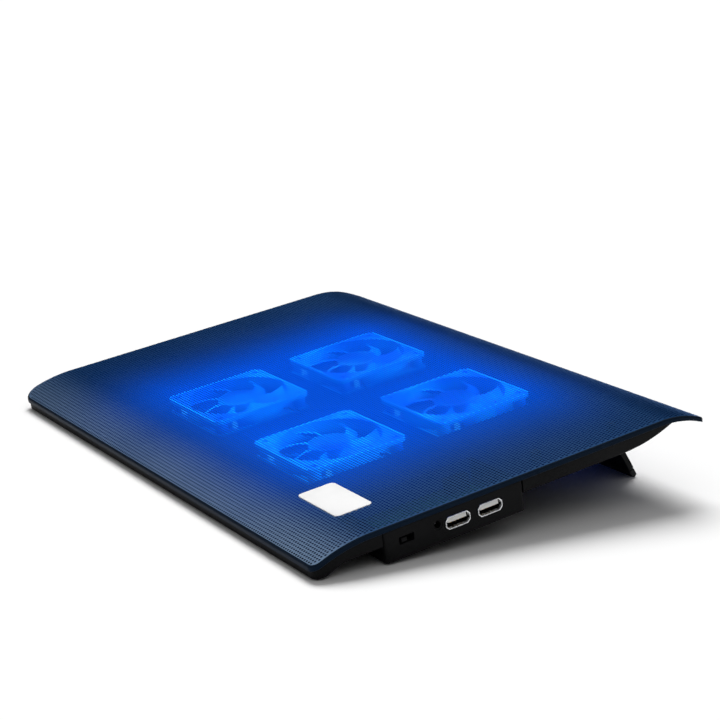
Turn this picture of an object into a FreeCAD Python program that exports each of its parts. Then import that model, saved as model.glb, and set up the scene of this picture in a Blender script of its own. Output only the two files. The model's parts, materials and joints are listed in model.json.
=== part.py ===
"""Laptop cooling pad with four fans, a two-port hub and two fold-out rear feet.

Most pieces are drawn in the deck's own frame: x across the pad (+x is the hub side), y along the deck
from front to back, z square to the deck with z = 0 on the deck's flat top. The pad stands open on its
rear feet, so the deck frame is seated at a tilt in the row frame: +X is the hub side, +Y the back and
+Z up, with the origin on the floor under the middle of the pad. Each fan is drawn about its own axis,
from the bottom of its frame up.
"""
import FreeCAD, Part
import math
import os
import re
import Sketcher
from FreeCAD import Placement, Rotation, Vector

DIMENSIONS = {
    # stance
    "tilt": 8.5,
    "deck_rise": 13.77,
    "deck_shift": -114.955,
    # deck sheet
    "half_width": 170,
    "plate_front": -3,
    "plate_back": 233,
    "lip_front": 30,
    "lip_front_bend": 86,
    "lip_back": 205,
    "lip_back_bend": 60,
    "corner_front": 10,
    "corner_back": 14,
    "hub_corner_front": 5,
    "hub_corner_back": 2.5,
    "least_corner": 0.5,
    "sheet": 0.7,
    "flange": 2.6,
    # badge
    "badge_left": 105.1,
    "badge_right": 142.2,
    "badge_front": 27.9,
    "badge_back": 48.9,
    "badge_corner": 2.6,
    "badge_thick": 0.6,
    "badge_play": 0.15,
    # base tray
    "base_gap": 1,
    "base_top": 0.8,
    "base_wall": 2,
    "side_depth": 10,
    "rim_depth": 12.9,
    "rim_length": 4,
    "rim_rise": 12,
    "hull_turn": 180,
    "hull_bend": 90.8,
    "hull_end": 215,
    "hull_end_depth": 2.98,
    "tail": 1.3,
    "pan_half_width": 83,
    "pan_front": 42,
    "pan_back": 199,
    "pan_depth": 16.5,
    "pan_corner": 6,
    "grille_width": 3.5,
    "grille_step": 5.6,
    "grille_first": 10,
    "spoke_width": 3,
    # fans
    "fan_side": 60,
    "fan_height": 10,
    "fan_top": 2,
    "fan_x": 50,
    "fan_y": 120.4,
    "fan_gap": 40.2,
    "fan_bore": 28.3,
    "fan_duct": 1.5,
    "fan_plate": 2,
    "fan_corner": 4,
    "fan_hole_step": 25,
    "fan_hole": 1.6,
    "fan_boss": 3.6,
    "motor_seat": 11.5,
    "seat_thick": 1.6,
    "strut_width": 3.6,
    "rotor_bottom": 2.4,
    "rotor_top": 9,
    "rotor_hub": 11.5,
    "rotor_wall": 1.1,
    "blade_tip": 27.6,
    "blade_thick": 1.1,
    "magnet_in": 9,
    "coil_out": 8.3,
    "bearing_out": 2.3,
    "bearing_bore": 1.03,
    "shaft": 1,
    "lamp_radius": 1.5,
    "lamp_circle": 31.6,
    "lamp_height": 4.2,
    # hub
    "hub_in": 126,
    "hub_out": 169.6,
    "hub_front": 36,
    "hub_back": 117,
    "hub_top": 2.9,
    "hub_depth": 18.8,
    "hub_wall": 1.8,
    "port_first": 77.6,
    "port_step": 18.9,
    "port_level": 10.1,
    "port_width": 13.1,
    "port_height": 5.3,
    "port_flare": 0.5,
    "port_flare_depth": 1.8,
    "port_mouth_cut": 1.6,
    "port_play": 0.25,
    "port_metal": 0.35,
    "port_length": 14.2,
    "tongue": 2.2,
    "tongue_front": 0.8,
    "board": 1.6,
    "board_top": 12.9,
    "board_screw": 1.05,
    "board_screw_head": 2.2,
    "switch_y": 48.4,
    "switch_level": 9.4,
    "switch_travel": 3,
    "jack_y": 66.2,
    "jack_level": 8.6,
    "jack_bore": 1.85,
    "jack_pin": 0.65,
    "jack_pin_end": 2.6,
    # screws and studs
    "stud_x": 150,
    "stud_radius": 2.8,
    "stud_bore": 1.3,
    "stud_length": 4.4,
    "stud_seam": 0.05,
    "screw_radius": 1.25,
    "screw_head": 2.8,
    "screw_head_height": 1.5,
    # feet
    "foot_in": 86,
    "foot_out": 130,
    "foot_pivot_y": 201.8,
    "foot_pivot_depth": 11.8,
    "foot_open": 65.7,
    "foot_thick": 3,
    "foot_barrel": 2.8,
    "foot_length": 33,
    "foot_tip_round": 1.2,
    "foot_pin": 1.2,
    "foot_play": 0.05,
    "lug": 3,
    "lug_gap": 0.35,
    # rubber
    "pad_radius": 6,
    "pad_height": 2.3,
    "pad_in_side": 21,
    "pad_in_end": 9,
}

MESH_STUDS_Y = (31, 140, 188)
FANS = {1: (-1, -1), 2: (1, -1), 3: (-1, 1), 4: (1, 1)}
SIDES = {"left": -1, "right": 1}
BLADES = 7
LEAD_RADIUS = 0.65
HEADER_HALF = 1.4
HEADER_GAP = 0.1

doc = FreeCAD.newDocument("CoolingPad")
sheet = doc.addObject("Spreadsheet::Sheet", "Dims")
for row, (alias, number) in enumerate(DIMENSIONS.items(), start=1):
    sheet.set(f"A{row}", alias)
    sheet.set(f"B{row}", str(number))
    sheet.setAlias(f"B{row}", alias)
doc.recompute()

subparts = []


def bound(text):
    """The expression text with each dimension's name pointed at its cell."""
    return re.sub(r"\b[a-z_]+\b", lambda m: "Dims." + m[0] if m[0] in DIMENSIONS else m[0], str(text))


def value(text):
    """The number that an expression gives."""
    found = sheet.evalExpression(bound(text))
    return float(getattr(found, "Value", found))


def bind(item, **properties):
    """Binds an object's properties to expressions; '__' in a name stands for a dot."""
    for name, text in properties.items():
        item.setExpression(name.replace("__", "."), bound(text))
    return item


# ---------------------------------------------------------------- placing

def seat(item, x="0", y="0", z="0"):
    """Places a piece drawn in the deck's directions, with its own origin at x, y, z of the deck frame."""
    bind(
        item,
        Placement__Base__x=x,
        Placement__Base__y=f"deck_shift + ({y}) * cos(tilt) - ({z}) * sin(tilt)",
        Placement__Base__z=f"deck_rise + ({y}) * sin(tilt) + ({z}) * cos(tilt)",
        Placement__Rotation__Angle="tilt",
    )
    item.Placement.Rotation = Rotation(Vector(1, 0, 0), value("tilt"))
    return item


def finish(item, label, x="0", y="0", z="0"):
    """Names a finished sub-part and seats it."""
    item.Label = label
    subparts.append(seat(item, x, y, z))
    return item


# ---------------------------------------------------------------- sketches and bodies

def new_body(name):
    return doc.addObject("PartDesign::Body", name)


def new_sketch(body, name, plane="XY_Plane", offset="0"):
    """A sketch on one of the body's own origin planes, moved along the plane's normal."""
    sketch = body.newObject("Sketcher::SketchObject", name)
    origin = [f for f in body.Origin.OriginFeatures if f.Role == plane][0]
    sketch.AttachmentSupport = [(origin, "")]
    sketch.MapMode = "FlatFace"
    bind(sketch, AttachmentOffset__Base__z=offset)
    return sketch


def pin_point(sketch, edge, end, x, y):
    """Fixes one end of a sketch edge at two expressions."""
    for kind, text in (("DistanceX", x), ("DistanceY", y)):
        index = sketch.addConstraint(Sketcher.Constraint(kind, -1, 1, edge, end, value(text)))
        sketch.setExpression(f"Constraints[{index}]", bound(text))


def arc_through(start, end, radius):
    """The arc from start to end, turning left about its centre when radius is positive."""
    middle = (start + end) / 2
    half = (end - start) / 2
    rise = math.sqrt(max(radius ** 2 - half.Length ** 2, 0))
    left = Vector(-half.y, half.x, 0).normalize()
    centre = middle + left * (rise if radius > 0 else -rise)
    turn = [math.atan2(p.y - centre.y, p.x - centre.x) for p in (start, end)]
    if radius < 0:
        turn.reverse()
    circle = Part.Circle(centre, Vector(0, 0, 1), abs(radius))
    return Part.ArcOfCircle(circle, turn[0], turn[1])


def outline(sketch, corners):
    """Draws a closed outline. A corner is (x, y) or (x, y, radius of the arc that leaves it)."""
    first = sketch.GeometryCount
    places = [Vector(value(c[0]), value(c[1]), 0) for c in corners]
    ends = []
    for index, corner in enumerate(corners):
        start = places[index]
        end = places[(index + 1) % len(corners)]
        if len(corner) == 2:
            sketch.addGeometry(Part.LineSegment(start, end), False)
            ends.append((1, 2))
        else:
            radius = value(corner[2])
            sketch.addGeometry(arc_through(start, end, radius), False)
            ends.append((1, 2) if radius > 0 else (2, 1))
    for index, corner in enumerate(corners):
        edge = first + index
        follower = first + (index + 1) % len(corners)
        following = ends[(index + 1) % len(corners)][0]
        sketch.addConstraint(Sketcher.Constraint("Coincident", edge, ends[index][1], follower, following))
        pin_point(sketch, edge, ends[index][0], corner[0], corner[1])
        if len(corner) == 3:
            index = sketch.addConstraint(Sketcher.Constraint("Radius", edge, abs(value(corner[2]))))
            sketch.setExpression(f"Constraints[{index}]", bound(f"abs({corner[2]})"))
    return sketch


def circle(sketch, x, y, radius):
    """Draws a circle whose centre and radius are expressions."""
    drawn = Part.Circle(Vector(value(x), value(y), 0), Vector(0, 0, 1), value(radius))
    edge = sketch.addGeometry(drawn, False)
    pin_point(sketch, edge, 3, x, y)
    index = sketch.addConstraint(Sketcher.Constraint("Radius", edge, value(radius)))
    sketch.setExpression(f"Constraints[{index}]", bound(radius))
    return sketch


def rectangle(x0, x1, y0, y1):
    return [(x0, y0), (x1, y0), (x1, y1), (x0, y1)]


def rounded(x0, x1, y0, y1, front, back=None, front_right=None, back_right=None):
    """A rectangle with rounded corners. Corners that aren't given are like the front left one."""
    back = back or front
    front_right = front_right or front
    back_right = back_right or back
    return [
        (f"({x0}) + ({front})", y0),
        (f"({x1}) - ({front_right})", y0, front_right),
        (x1, f"({y0}) + ({front_right})"),
        (x1, f"({y1}) - ({back_right})", back_right),
        (f"({x1}) - ({back_right})", y1),
        (f"({x0}) + ({back})", y1, back),
        (x0, f"({y1}) - ({back})"),
        (x0, f"({y0}) + ({front})", front),
    ]


def add_pad(body, sketch, length, symmetric=False, down=False):
    pad = body.newObject("PartDesign::Pad", sketch.Name + "Pad")
    pad.Profile = sketch
    if symmetric:
        pad.SideType = "Symmetric"
    pad.Reversed = down
    bind(pad, Length=length)
    body.Tip = pad
    return pad


def add_pocket(body, sketch, length, up=False, symmetric=False):
    """Cuts a sketch out of its body, and stops if nothing was removed."""
    doc.recompute()
    before = body.Shape.Volume
    pocket = body.newObject("PartDesign::Pocket", sketch.Name + "Pocket")
    pocket.Profile = sketch
    if symmetric:
        pocket.SideType = "Symmetric"
    pocket.Reversed = up
    bind(pocket, Length=length)
    body.Tip = pocket
    doc.recompute()
    if not body.Shape.Volume < before - 1e-6:
        raise RuntimeError(f"{pocket.Name} cuts nothing")
    return pocket


def plan_prism(name, corners, bottom, height):
    """A body padded up from a plan outline."""
    body = new_body(name)
    add_pad(body, outline(new_sketch(body, name + "Plan", "XY_Plane", bottom), corners), height)
    return body


def side_prism(name, corners, width, x="0"):
    """A body padded both ways across the pad from a side profile; x is its middle."""
    body = new_body(name)
    sketch = new_sketch(body, name + "Side", "YZ_Plane", x)
    add_pad(body, outline(sketch, corners), width, symmetric=True)
    return body


# ---------------------------------------------------------------- primitives and booleans

def box(name, x0, x1, y0, y1, z0, z1):
    """A block between six expressions."""
    return bind(
        doc.addObject("Part::Box", name),
        Length=f"({x1}) - ({x0})",
        Width=f"({y1}) - ({y0})",
        Height=f"({z1}) - ({z0})",
        Placement__Base__x=x0,
        Placement__Base__y=y0,
        Placement__Base__z=z0,
    )


def post(name, x, y, bottom, top, radius):
    """An upright cylinder."""
    return bind(
        doc.addObject("Part::Cylinder", name),
        Radius=radius,
        Height=f"({top}) - ({bottom})",
        Placement__Base__x=x,
        Placement__Base__y=y,
        Placement__Base__z=bottom,
    )


def rod(name, x0, x1, y, z, radius):
    """A cylinder that lies across the pad."""
    lying = bind(
        doc.addObject("Part::Cylinder", name),
        Radius=radius,
        Height=f"({x1}) - ({x0})",
        Placement__Base__x=x0,
        Placement__Base__y=y,
        Placement__Base__z=z,
    )
    lying.Placement.Rotation = Rotation(Vector(0, 1, 0), 90)
    return lying


def fuse(name, items):
    whole = doc.addObject("Part::MultiFuse", name)
    whole.Shapes = items
    whole.Refine = True
    return whole


def common(name, items):
    shared = doc.addObject("Part::MultiCommon", name)
    shared.Shapes = items
    return shared


def cut(name, base, tool):
    left = doc.addObject("Part::Cut", name)
    left.Base = base
    left.Tool = tool
    left.Refine = True
    return left


def group(name, items):
    """Separate solids kept in one sub-part."""
    kept = doc.addObject("Part::Compound", name)
    kept.Links = items
    return kept


def fillet(name, base, radius, wanted):
    """Rounds the edges of base for which wanted(edge) is true."""
    doc.recompute()
    size = value(radius)
    edges = [i for i, edge in enumerate(base.Shape.Edges, start=1) if wanted(edge)]
    rounding = doc.addObject("Part::Fillet", name)
    rounding.Base = base
    rounding.Edges = [(i, size, size) for i in edges]
    return rounding


def lies_at(edge, axis, place, slack=0.02):
    """True if the whole edge lies where the coordinate along axis is place."""
    low = getattr(edge.BoundBox, axis + "Min")
    high = getattr(edge.BoundBox, axis + "Max")
    return abs(low - place) < slack and abs(high - place) < slack


# ---------------------------------------------------------------- deck sheet

def front_height(y, depth="0"):
    """Height of the front lip's surface at y, for the surface that lies depth below the deck's top."""
    return f"sqrt((lip_front_bend - ({depth}))^2 - (({y}) - lip_front)^2) - lip_front_bend"


def back_height(y, depth="0"):
    return f"sqrt((lip_back_bend - ({depth}))^2 - (({y}) - lip_back)^2) - lip_back_bend"


def deck_band(name, top, bottom, width):
    """The deck's side profile between two depths below its top, padded across the pad."""
    front = "plate_front - 3"
    back = "plate_back + 3"
    corners = [
        (front, front_height(front, bottom), f"-(lip_front_bend - ({bottom}))"),
        ("lip_front", f"-({bottom})"),
        ("lip_back", f"-({bottom})", f"-(lip_back_bend - ({bottom}))"),
        (back, back_height(back, bottom)),
        (back, back_height(back, top), f"lip_back_bend - ({top})"),
        ("lip_back", f"-({top})"),
        ("lip_front", f"-({top})", f"lip_front_bend - ({top})"),
        (front, front_height(front, top)),
    ]
    return side_prism(name, corners, width)


def deck_plan(name, inset, bottom, height):
    """The deck's plan, drawn in by inset, as an upright prism. Its corners are tighter on the hub side."""
    corners = rounded(
        f"-half_width + ({inset})",
        f"half_width - ({inset})",
        f"plate_front + ({inset})",
        f"plate_back - ({inset})",
        f"corner_front - ({inset})",
        f"corner_back - ({inset})",
        f"max(hub_corner_front - ({inset}); least_corner)",
        f"max(hub_corner_back - ({inset}); least_corner)",
    )
    return plan_prism(name, corners, bottom, height)


def make_mesh_cover():
    """The bent sheet and its turned-down flange. Its fine perforation is left out of the solid."""
    outer = common("CoverOuter", [
        deck_band("CoverBand", "0", "flange", "2 * half_width + 4"),
        deck_plan("CoverPlan", "0", "-20", "30"),
    ])
    inner = common("CoverInner", [
        deck_band("CoverHollowBand", "sheet", "flange + 3", "2 * half_width + 4"),
        deck_plan("CoverHollowPlan", "sheet", "-20", "30"),
    ])
    dimple = badge_plan("BadgeDimple", "badge_play + sheet", "-(badge_thick + sheet)",
                        "badge_thick + sheet / 2")
    seat_cut = badge_plan("BadgeSeat", "badge_play", "-badge_thick", "badge_thick + 1")
    built = fuse("CoverBuilt", [cut("CoverBent", outer, inner), dimple])
    finish(cut("MeshCover", built, seat_cut), "mesh_cover")


def badge_plan(name, margin, bottom, height):
    """The badge's rounded plan, drawn out by margin, as an upright prism."""
    corners = rounded(
        f"badge_left - ({margin})",
        f"badge_right + ({margin})",
        f"badge_front - ({margin})",
        f"badge_back + ({margin})",
        f"badge_corner + ({margin})",
    )
    return plan_prism(name, corners, bottom, height)


def make_badge_plate():
    """A blank rounded plate that lies flush in a shallow dimple of the deck."""
    finish(badge_plan("BadgePlate", "0", "-badge_thick", "badge_thick"), "badge_plate")


# ---------------------------------------------------------------- base

def fan_centre(number):
    """Expressions for a fan's centre in the deck frame."""
    side, row = FANS[number]
    return f"{side} * fan_x", f"fan_y + {row} * fan_gap"


def make_hull():
    """The tray's outside: rim, side walls and the tail under the back lip, without the pan."""
    front = "plate_front - 1"
    back = "plate_back + 1"
    tail_top = "base_top"
    tail_bottom = "base_top + tail"
    corners = [
        (front, "-rim_depth"),
        ("rim_length", "-rim_depth"),
        ("rim_rise", "-side_depth"),
        ("hull_turn", "-side_depth", "hull_bend"),
        ("hull_end", "-hull_end_depth", f"-(lip_back_bend - ({tail_bottom}))"),
        (back, back_height(back, tail_bottom)),
        (back, back_height(back, tail_top), f"lip_back_bend - ({tail_top})"),
        ("lip_back", f"-({tail_top})"),
        ("lip_front", f"-({tail_top})", f"lip_front_bend - ({tail_top})"),
        (front, front_height(front, tail_top)),
    ]
    hull = common("Hull", [
        side_prism("HullSide", corners, "2 * half_width + 4"),
        deck_plan("HullPlan", "base_gap", "-20", "30"),
    ])
    doc.recompute()
    low = -value("side_depth")
    ends = value("half_width - base_gap")

    def lower_side(edge):
        box_ = edge.BoundBox
        flat_side = abs(abs(box_.XMin) - ends) < 0.01 and abs(box_.XMax - box_.XMin) < 0.01
        return flat_side and box_.ZMax < low + 0.01 and box_.YLength > 100

    return fillet("HullRounded", hull, "1.2", lower_side)


def make_hull_hollow():
    """The tray's inside, open at the top."""
    floor = "-(side_depth - base_wall)"
    stop = "hull_end - 3"
    bend = "(hull_bend - base_wall)"
    corners = [
        ("plate_front - 1", floor),
        ("hull_turn", floor, bend),
        (stop, f"{floor} + {bend} - sqrt({bend}^2 - ({stop} - hull_turn)^2)"),
        (stop, "6"),
        ("plate_front - 1", "6"),
    ]
    return common("HullHollow", [
        side_prism("HollowSide", corners, "2 * half_width"),
        deck_plan("HollowPlan", "base_gap + base_wall", "-20", "30"),
    ])


def make_grilles():
    """Ring slots through the pan floor below each fan."""
    body = new_body("GrilleSlots")
    sketch = new_sketch(body, "GrilleRings", "XY_Plane", "-pan_depth - 1")
    for number in FANS:
        x, y = fan_centre(number)
        for ring in range(3):
            inner = f"grille_first + {ring} * grille_step"
            circle(sketch, x, y, inner)
            circle(sketch, x, y, f"{inner} + grille_width")
    add_pad(body, sketch, "base_wall + 2")
    return body


def make_spokes():
    """Two crossed bars that carry each grille's rings."""
    bars = []
    reach = "grille_first + 3 * grille_step"
    for number in FANS:
        x, y = fan_centre(number)
        half = "spoke_width / 2"
        floor = ("-pan_depth", "-(pan_depth - base_wall)")
        bars.append(box(f"SpokeAcross{number}", f"{x} - ({reach})", f"{x} + {reach}",
                        f"{y} - {half}", f"{y} + {half}", *floor))
        bars.append(box(f"SpokeAlong{number}", f"{x} - {half}", f"{x} + {half}",
                        f"{y} - ({reach})", f"{y} + {reach}", *floor))
    return bars


def fan_hole_places():
    """Expressions for the sixteen fan screws."""
    for number in FANS:
        x, y = fan_centre(number)
        for across in (-1, 1):
            for along in (-1, 1):
                yield f"{x} + {across} * fan_hole_step", f"{y} + {along} * fan_hole_step"


def stud_places():
    for side in (-1, 1):
        for y in MESH_STUDS_Y:
            yield f"{side} * stud_x", str(y)


def make_yoke(side, name):
    """Two lugs for a foot's pin, joined behind the barrel by the bar that stops the open foot."""
    low = "-(foot_pivot_depth + foot_barrel)"
    front = "foot_pivot_y - foot_barrel"
    back = "foot_pivot_y + foot_barrel + 2.8"
    inner = "foot_in - lug_gap"
    outer = "foot_out + lug_gap"
    pieces = []
    for index, (x0, x1) in enumerate([(f"{inner} - lug", inner), (outer, f"{outer} + lug")]):
        middle = f"{side} * (({x0}) + ({x1})) / 2"
        corners = [
            ("foot_pivot_y", low),
            (back, low),
            (back, "-5"),
            (front, "-5"),
            (front, "-foot_pivot_depth", "foot_barrel"),
        ]
        lug = side_prism(f"Lug{name}{index}", corners, "lug", middle)
        pieces.append(lug)
    bar_front = "foot_pivot_y + foot_barrel + 0.2"
    x0, x1 = (inner, outer) if side > 0 else (f"-({outer})", f"-({inner})")
    pieces.append(box(f"StopBar{name}", x0, x1, bar_front, back, f"{low}", "-5.4"))
    return pieces


def make_base_shell():
    pan = plan_prism("PanOuter", rounded(
        "-pan_half_width", "pan_half_width", "pan_front", "pan_back", "pan_corner"),
        "-pan_depth", "pan_depth - side_depth + 1")
    pan_rounded = fillet("PanRounded", pan, "1.5", lambda edge: lies_at(edge, "Z", -value("pan_depth")))
    pan_hollow = plan_prism("PanHollow", rounded(
        "-pan_half_width + base_wall", "pan_half_width - base_wall",
        "pan_front + base_wall", "pan_back - base_wall", "pan_corner - base_wall"),
        "-(pan_depth - base_wall)", "pan_depth + 4")
    outside = fuse("BaseOutside", [make_hull(), pan_rounded])
    inside = fuse("BaseInside", [make_hull_hollow(), pan_hollow, make_grilles()])
    walls = cut("BaseWalls", outside, inside)

    floor = "-(pan_depth - base_wall)"
    fan_bottom = "-(fan_top + fan_height)"
    added = make_spokes()
    holes = []
    for index, (x, y) in enumerate(fan_hole_places()):
        added.append(post(f"FanBoss{index}", x, y, f"{floor} - 0.5", fan_bottom, "fan_boss"))
        holes.append(post(f"FanScrewHole{index}", x, y, "-pan_depth - 1", f"{fan_bottom} + 1", "fan_hole"))
    for index, (x, y) in enumerate(stud_places()):
        added.append(post(f"StudBoss{index}", x, y, "-(side_depth - 1)", "-(sheet + stud_length + 0.1)",
                          "stud_radius + 0.9"))
        holes.append(post(f"StudHole{index}", x, y, "-side_depth - 1", "0", "screw_radius + 0.25"))
    for name, side in SIDES.items():
        added += make_yoke(side, name.capitalize())
        ends = ("foot_in - 5", "foot_out + 5") if side > 0 else ("-(foot_out + 5)", "-(foot_in - 5)")
        holes.append(rod(f"PinHole{name}", *ends, "foot_pivot_y", "-foot_pivot_depth", "foot_pin"))
    holes.append(box("HubNotch", "hub_in - 0.3", "half_width + 2", "hub_front - 0.3", "hub_back + 0.3",
                     "-side_depth - 1", "-(hub_top - 0.2)"))
    finish(cut("BaseShell", fuse("BaseBuilt", [walls] + added), fuse("BaseHoles", holes)), "base_shell")


# ---------------------------------------------------------------- fans

def make_fan_frame(number):
    """A square frame: two flange plates round a duct, with a motor seat on four struts."""
    name = f"FanFrame{number}"
    half = "fan_side / 2"
    body = new_body(name)
    square = rounded(f"-{half}", half, f"-{half}", half, "fan_corner")
    add_pad(body, outline(new_sketch(body, name + "Square"), square), "fan_height")
    waist = new_sketch(body, name + "Waist", "XY_Plane", "fan_plate")
    outline(waist, rectangle(f"-{half} - 1", f"{half} + 1", f"-{half} - 1", f"{half} + 1"))
    circle(waist, "0", "0", "fan_bore + fan_duct")
    for across in (-1, 1):
        for along in (-1, 1):
            circle(waist, f"{across} * fan_hole_step", f"{along} * fan_hole_step", "fan_boss")
    add_pocket(body, waist, "fan_height - 2 * fan_plate", up=True)
    bore = circle(new_sketch(body, name + "Bore"), "0", "0", "fan_bore")
    add_pocket(body, bore, "fan_height", up=True)
    struts = [box(f"{name}Strut{turn}", "0", "fan_bore + 0.6", "-strut_width / 2", "strut_width / 2",
                  "0", "seat_thick") for turn in range(4)]
    for turn, strut in enumerate(struts):
        angle = math.radians(45 + 90 * turn)
        strut.setExpression("Placement.Base.x", bound(f"strut_width / 2 * {math.sin(angle):.6f}"))
        strut.setExpression("Placement.Base.y", bound(f"-strut_width / 2 * {math.cos(angle):.6f}"))
        strut.Placement.Rotation = Rotation(Vector(0, 0, 1), math.degrees(angle))
    disc = post(f"{name}Seat", "0", "0", "0", "seat_thick", "motor_seat")
    holes = [post(f"{name}BearingHole", "0", "0", "-1", "fan_height", "bearing_out")]
    for index, (across, along) in enumerate([(-1, -1), (-1, 1), (1, -1), (1, 1)]):
        holes.append(post(f"{name}Hole{index}", f"{across} * fan_hole_step", f"{along} * fan_hole_step",
                          "-1", "fan_height + 1", "fan_hole"))
    whole = cut(name + "Whole", fuse(name + "Solid", [body, disc] + struts), fuse(name + "Holes", holes))
    seat_fan(whole, number, f"fan_frame_{number}")


def seat_fan(item, number, label):
    x, y = fan_centre(number)
    finish(item, label, x, y, "-(fan_top + fan_height)")


def blade_section(radius, pitch, lean, length, thick, middle):
    """A thin four-cornered section of a blade, square to the radius at an angle of lean."""
    along = Vector(-math.sin(lean), math.cos(lean), 0)
    centre = Vector(math.cos(lean) * radius, math.sin(lean) * radius, middle)
    chord = along * math.cos(pitch) + Vector(0, 0, math.sin(pitch))
    face = along * -math.sin(pitch) + Vector(0, 0, math.cos(pitch))
    corners = [centre + chord * (length / 2 * a) + face * (thick / 2 * b)
               for a, b in ((-1, -1), (1, -1), (1, 1), (-1, 1))]
    return Part.makePolygon(corners + corners[:1])


def blade_shape():
    """One swept blade, lofted from the hub to the tip."""
    bottom = value("rotor_bottom + 0.3")
    top = value("rotor_top - 1.1")
    middle = (bottom + top) / 2
    inner = value("rotor_hub - 0.5")
    outer = value("blade_tip")
    thick = value("blade_thick")
    sections = []
    for share in (0, 0.5, 1):
        radius = inner + (outer - inner) * share
        pitch = math.radians(44 - 16 * share)
        length = min((top - bottom - thick * math.cos(pitch)) / math.sin(pitch), 8 + 5 * share)
        sections.append(blade_section(radius, pitch, math.radians(26) * share ** 1.5, length, thick, middle))
    return Part.makeLoft(sections, True, False)


def make_rotor(number):
    """Hub cup with seven swept blades."""
    name = f"FanRotor{number}"
    cup = new_body(name)
    disc = circle(new_sketch(cup, name + "Disc", "XY_Plane", "rotor_bottom"), "0", "0", "rotor_hub")
    add_pad(cup, disc, "rotor_top - rotor_bottom")
    inside = circle(new_sketch(cup, name + "Inside", "XY_Plane", "rotor_bottom"), "0", "0",
                    "rotor_hub - rotor_wall")
    add_pocket(cup, inside, "rotor_top - rotor_bottom - 1.2", up=True)
    shaft_hole = circle(new_sketch(cup, name + "ShaftHole", "XY_Plane", "rotor_bottom"), "0", "0", "shaft")
    add_pocket(cup, shaft_hole, "rotor_top - rotor_bottom - 0.5", up=True)
    rounded_cup = fillet(name + "Cup", cup, "1", lambda edge: lies_at(edge, "Z", value("rotor_top")))
    blade = blade_shape()
    blades = []
    for index in range(BLADES):
        feature = doc.addObject("Part::Feature", f"{name}Blade{index}")
        feature.Shape = blade
        feature.Placement = Placement(Vector(), Rotation(Vector(0, 0, 1), 360 / BLADES * index))
        blades.append(feature)
    whole = fuse(name + "Whole", [rounded_cup] + blades)
    seat_fan(whole, number, f"fan_rotor_{number}")


def ring(name, bottom, top, outer, inner):
    return cut(name, post(name + "Out", "0", "0", bottom, top, outer),
               post(name + "In", "0", "0", f"({bottom}) - 1", f"({top}) + 1", inner))


def make_motor(number):
    """Shaft and magnet on the rotor; bearing and coil on the frame."""
    shaft = post(f"FanShaft{number}", "0", "0", "seat_thick + 0.2", "rotor_top - 0.5", "shaft")
    seat_fan(group(f"FanShaft{number}Kept", [shaft]), number, f"fan_shaft_{number}")
    magnet = ring(f"FanMagnet{number}", "rotor_bottom + 0.2", "rotor_top - 2", "rotor_hub - rotor_wall",
                  "magnet_in")
    seat_fan(magnet, number, f"fan_magnet_{number}")
    bearing = ring(f"FanBearing{number}", "0.2", "rotor_top - 2.4", "bearing_out", "bearing_bore")
    seat_fan(bearing, number, f"fan_bearing_{number}")
    core = ring(f"FanCore{number}", "seat_thick", "rotor_top - 2.8", "coil_out", "bearing_out")
    seat_fan(core, number, f"fan_coil_{number}")


def make_lamps(number):
    """Four domed lamps between the frame's flanges, beside its corner bosses."""
    lamps = []
    for index in range(4):
        angle = math.radians(57 + 90 * index)
        x = f"lamp_circle * {math.cos(angle):.6f}"
        y = f"lamp_circle * {math.sin(angle):.6f}"
        base = "fan_plate + 0.3"
        neck = f"{base} + lamp_height - lamp_radius"
        stem = post(f"Lamp{number}Stem{index}", x, y, base, neck, "lamp_radius")
        dome = bind(
            doc.addObject("Part::Sphere", f"Lamp{number}Dome{index}"),
            Radius="lamp_radius",
            Placement__Base__x=x,
            Placement__Base__y=y,
            Placement__Base__z=neck,
        )
        lamps.append(fuse(f"Lamp{number}Whole{index}", [stem, dome]))
    seat_fan(group(f"FanLeds{number}", lamps), number, f"fan_leds_{number}")


# ---------------------------------------------------------------- hub

def make_hub_housing():
    """The open-topped box behind the port face, with its port, switch and jack openings."""
    body = plan_prism("HubOuter", rounded("hub_in", "hub_out", "hub_front", "hub_back", "2"),
                      "-hub_depth", "hub_depth - hub_top")
    smooth = fillet("HubRounded", body, "1.2", lambda edge: lies_at(edge, "Z", -value("hub_depth")))
    hollow = plan_prism("HubHollow", rounded(
        "hub_in + hub_wall", "hub_out - hub_wall", "hub_front + hub_wall", "hub_back - hub_wall", "0.8"),
        "-(hub_depth - hub_wall)", "hub_depth")
    openings = []
    wall = ("hub_out - hub_wall - 1", "hub_out + 1")
    for port in range(2):
        corners = port_profile(
            "port_width + 2 * (port_flare + port_play)", "port_height + 2 * (port_flare + port_play)",
            "port_mouth_cut + port_play / 2", f"port_first + {port} * port_step", "-port_level")
        openings.append(side_prism(f"PortWindow{port}", corners, "hub_wall + 2", "hub_out - hub_wall / 2"))
    openings.append(box("SwitchWindow", *wall, "switch_y - 4.2", "switch_y + 4.2",
                        "-switch_level - 1.9", "-switch_level + 1.9"))
    openings.append(rod("JackWindow", *wall, "jack_y", "-jack_level", "2.9"))
    openings.append(box("LeadWindow", "hub_in - 1", "hub_in + hub_wall + 1",
                        "94.5", "108.5", "-9.4", "-5.4"))
    floor = "-(hub_depth - hub_wall)"
    posts = []
    for index, (x, y) in enumerate(board_screw_places()):
        openings.append(post(f"BoardPilot{index}", x, y, f"{floor} - 0.6", "-board_top",
                             "board_screw + 0.05"))
        posts.append(post(f"BoardPost{index}", x, y, f"{floor} - 0.5", "-(board_top + board)",
                          "board_screw_head + 0.4"))
    built = fuse("HubBuilt", [cut("HubOpen", smooth, hollow)] + posts)
    finish(cut("HubHousing", built, fuse("HubHoles", openings)), "hub_housing")


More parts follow.
